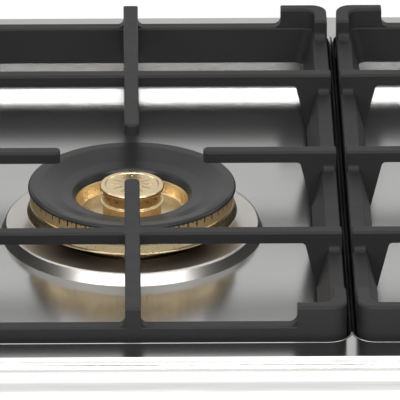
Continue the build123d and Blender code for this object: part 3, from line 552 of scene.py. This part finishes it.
wellBead = {
    "offsetSide": 0.0025,   # outside the well's edge, on the fold between two wells
    "offsetEnd": 0.0042,
    "radius": 0.0010,
    "standsProud": 0.0003,
    "wells": (-1, 0, 1),    # left, middle and right
    "wellWidth": 0.285,
    "wellLength": 0.518,
    "wellPitch": 0.290,
    "wellCorner": 0.012,
    "cornerSteps": 10,
    "roundSteps": 10,
}


def beadTree():
    tree, given, made = startTree("wellBead", {
        "Width": "NodeSocketFloat", "Length": "NodeSocketFloat", "Corner": "NodeSocketFloat",
        "Radius": "NodeSocketFloat", "Place": "NodeSocketVector", "Material": "NodeSocketMaterial"})
    sides = addNode(tree, "GeometryNodeCurvePrimitiveQuadrilateral",
                    links={"Width": given["Width"], "Height": given["Length"]})
    outline = addNode(tree, "GeometryNodeFilletCurve", {"mode": "POLY", "Count": wellBead["cornerSteps"]},
                      {"Curve": sides.outputs["Curve"], "Radius": given["Corner"]})
    section = addNode(tree, "GeometryNodeCurvePrimitiveCircle", {"Resolution": wellBead["roundSteps"]},
                      {"Radius": given["Radius"]})
    bead = addNode(tree, "GeometryNodeCurveToMesh", {"Fill Caps": True},
                   {"Curve": outline.outputs["Curve"], "Profile Curve": section.outputs["Curve"]})
    smooth = addNode(tree, "GeometryNodeSetShadeSmooth", links={"Geometry": bead.outputs["Mesh"]})
    moved = addNode(tree, "GeometryNodeTransform",
                    links={"Geometry": smooth.outputs["Geometry"], "Translation": given["Place"]})
    real = addNode(tree, "GeometryNodeRealizeInstances", links={"Geometry": moved.outputs["Geometry"]})
    dressed = addNode(tree, "GeometryNodeSetMaterial",
                      links={"Geometry": real.outputs["Geometry"], "Material": given["Material"]})
    tree.links.new(dressed.outputs["Geometry"], made.inputs["Geometry"])
    return tree


def makeWellBeads(finishes):
    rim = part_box("worktop")[1].z
    middle = middleOf("worktop").y
    tree = beadTree()
    drop = wellBead["radius"] - wellBead["standsProud"]
    beads = []
    for well in wellBead["wells"]:
        beads.append(growPiece(f"wellBead{well}", tree, {
            "Width": wellBead["wellWidth"] + 2 * wellBead["offsetSide"],
            "Length": wellBead["wellLength"] + 2 * wellBead["offsetEnd"],
            "Corner": wellBead["wellCorner"] + wellBead["offsetEnd"],
            "Radius": wellBead["radius"],
            "Place": (well * wellBead["wellPitch"], middle, rim - drop),
            "Material": finishes["stainless_worktop"]}))
    piece = joinPieces("wellEdgeBeads", beads)
    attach(piece, "casing")
    print("beads round", len(beads), "wells")


flameDots = {
    "knobs": ("left_rear", "left_front", "center", "right_front", "right_rear"),
    "count": 9,
    "startAngle": 40.0,     # degrees, clockwise from straight down
    "endAngle": 320.0,
    "fromBelow": (-1, 1, -1),
    "ring": 0.0335,         # from the knob's axis
    "smallest": 0.0009,
    "largest": 0.0022,
    "flatness": 0.3,
    "domeSegments": 16,
    "domeRings": 8,
}


def dotTree():
    tree, given, made = startTree("flameDots", {
        "Count": "NodeSocketInt", "Start": "NodeSocketFloat", "End": "NodeSocketFloat",
        "Ring": "NodeSocketFloat", "Smallest": "NodeSocketFloat", "Largest": "NodeSocketFloat",
        "Place": "NodeSocketVector", "Material": "NodeSocketMaterial"})
    points = addNode(tree, "GeometryNodePoints", links={"Count": given["Count"]})
    index = addNode(tree, "GeometryNodeInputIndex")
    last = addNode(tree, "ShaderNodeMath", {"operation": "SUBTRACT", 1: 1.0}, {0: given["Count"]})
    share = addNode(tree, "ShaderNodeMath", {"operation": "DIVIDE"},
                    {0: index.outputs[0], 1: last.outputs[0]})
    angle = addNode(tree, "ShaderNodeMapRange",
                    links={"Value": share.outputs[0], "To Min": given["Start"], "To Max": given["End"]})
    sine = addNode(tree, "ShaderNodeMath", {"operation": "SINE"}, {0: angle.outputs[0]})
    cosine = addNode(tree, "ShaderNodeMath", {"operation": "COSINE"}, {0: angle.outputs[0]})
    around = addNode(tree, "ShaderNodeCombineXYZ", links={"X": sine.outputs[0], "Z": cosine.outputs[0]})
    onRing = addNode(tree, "ShaderNodeVectorMath", {"operation": "SCALE"},
                     {0: around.outputs[0], "Scale": given["Ring"]})
    turned = addNode(tree, "ShaderNodeVectorMath", {"operation": "MULTIPLY", 1: flameDots["fromBelow"]},
                     {0: onRing.outputs[0]})
    spot = addNode(tree, "ShaderNodeVectorMath", {"operation": "ADD"},
                   {0: turned.outputs[0], 1: given["Place"]})
    placed = addNode(tree, "GeometryNodeSetPosition",
                     links={"Geometry": points.outputs[0], "Position": spot.outputs[0]})
    size = addNode(tree, "ShaderNodeMapRange",
                   links={"Value": share.outputs[0], "To Min": given["Smallest"],
                          "To Max": given["Largest"]})
    ball = addNode(tree, "GeometryNodeMeshUVSphere",
                   {"Segments": flameDots["domeSegments"], "Rings": flameDots["domeRings"],
                    "Radius": 1.0})
    dome = addNode(tree, "GeometryNodeTransform", {"Scale": (1.0, flameDots["flatness"], 1.0)},
                   {"Geometry": ball.outputs["Mesh"]})
    smooth = addNode(tree, "GeometryNodeSetShadeSmooth", links={"Geometry": dome.outputs["Geometry"]})
    dots = addNode(tree, "GeometryNodeInstanceOnPoints",
                   links={"Points": placed.outputs["Geometry"], "Instance": smooth.outputs["Geometry"],
                          "Scale": size.outputs[0]})
    real = addNode(tree, "GeometryNodeRealizeInstances", links={"Geometry": dots.outputs["Instances"]})
    dressed = addNode(tree, "GeometryNodeSetMaterial",
                      links={"Geometry": real.outputs["Geometry"], "Material": given["Material"]})
    tree.links.new(dressed.outputs["Geometry"], made.inputs["Geometry"])
    return tree


def makeFlameDots(finishes):
    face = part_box("front_panel")[0].y   # the panel's flat face is its foremost plane
    tree = dotTree()
    rings = []
    for knob in flameDots["knobs"]:
        axis = middleOf(knob + "_knob")
        rings.append(growPiece(knob + "Dots", tree, {
            "Count": flameDots["count"],
            "Start": math.radians(flameDots["startAngle"]),
            "End": math.radians(flameDots["endAngle"]),
            "Ring": flameDots["ring"],
            "Smallest": flameDots["smallest"],
            "Largest": flameDots["largest"],
            "Place": (axis.x, face, axis.z),
            "Material": finishes["bezel_black"]}))
    piece = joinPieces("knobFlameDots", rings)
    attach(piece, "casing")
    print("flame dots round", len(rings), "knobs")


makeCamera()
makeStudio()
finishes = makeFinishes()
dressNodes(finishes)
makeWellBeads(finishes)
makeFlameDots(finishes)
